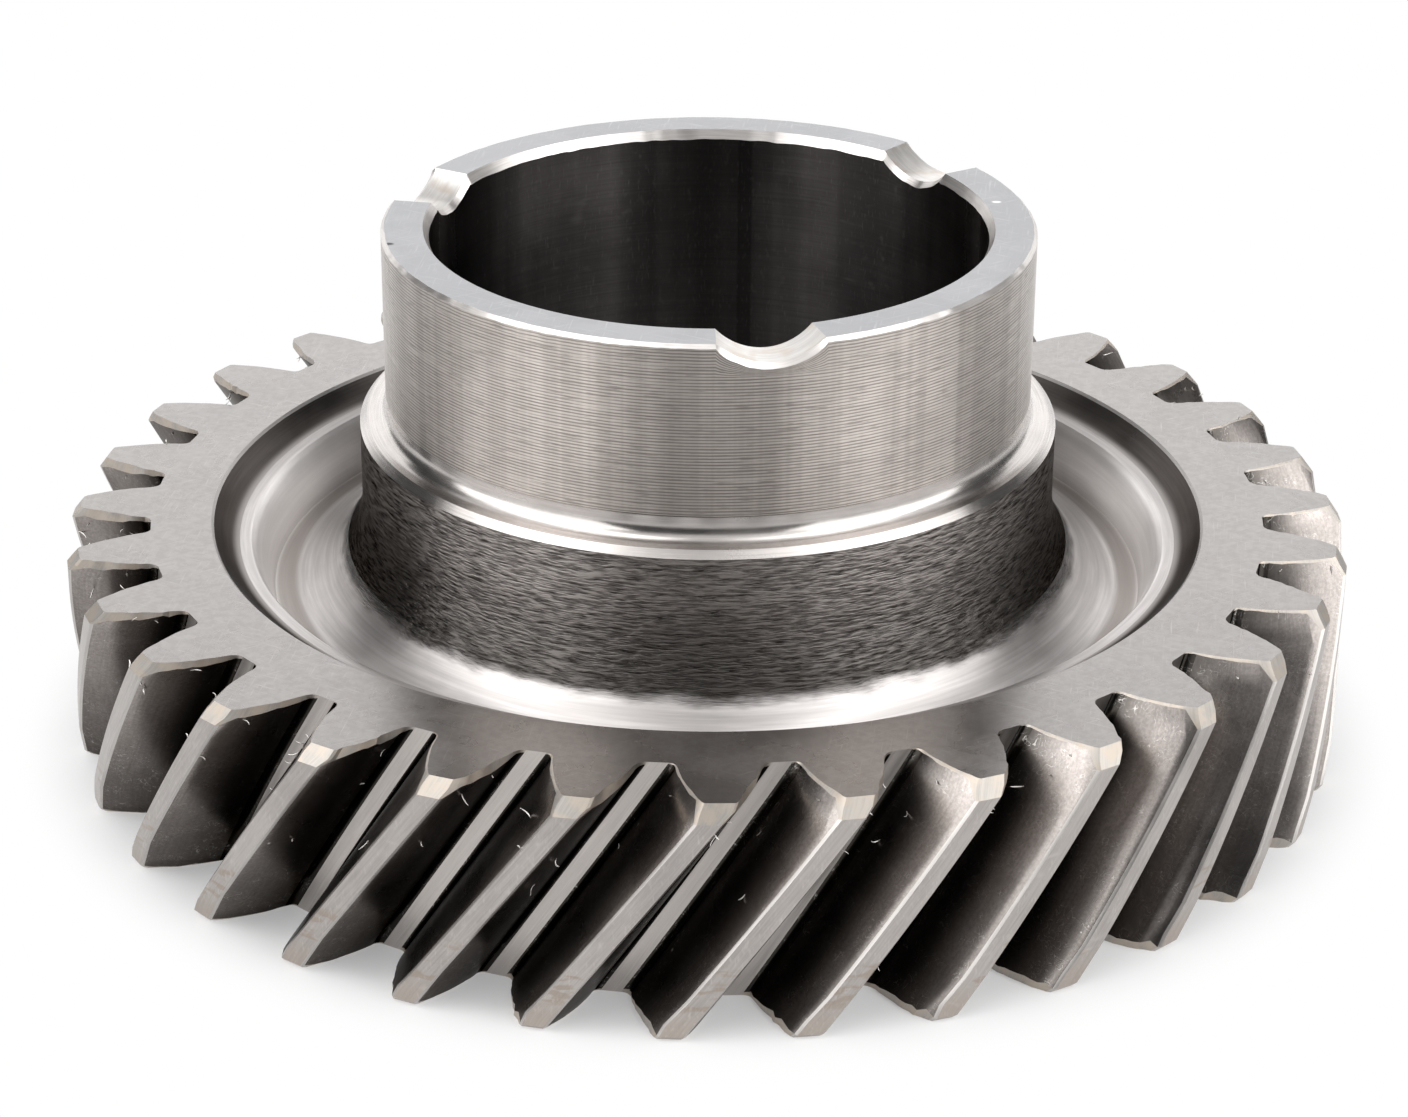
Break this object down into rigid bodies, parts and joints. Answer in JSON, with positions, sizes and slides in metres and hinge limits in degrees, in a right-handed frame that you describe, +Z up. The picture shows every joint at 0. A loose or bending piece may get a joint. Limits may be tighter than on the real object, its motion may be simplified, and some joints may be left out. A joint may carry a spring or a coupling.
{
  "type": "countershaft gear",
  "caption": "Right-hand helical gear with a dished web, a stepped hub, a plain bore and notches across the hub's top face.",
  "frame": {"origin": "on the bore's axis, in the plane of the lower face that the gear stands on", "axes": "+Z up the bore's axis, from the lower face to the notched top of the hub"},
  "size_m": [0.1232, 0.1232, 0.0516],
  "materials": {
    "machined_steel": "turned light grey hub and faces, coarse dark lower hub, ground dark tooth flanks, bright tooth tips"
  },
  "bodies": {
    "root": {"countershaft_gear": "machined_steel"}
  },
  "joints": []
}
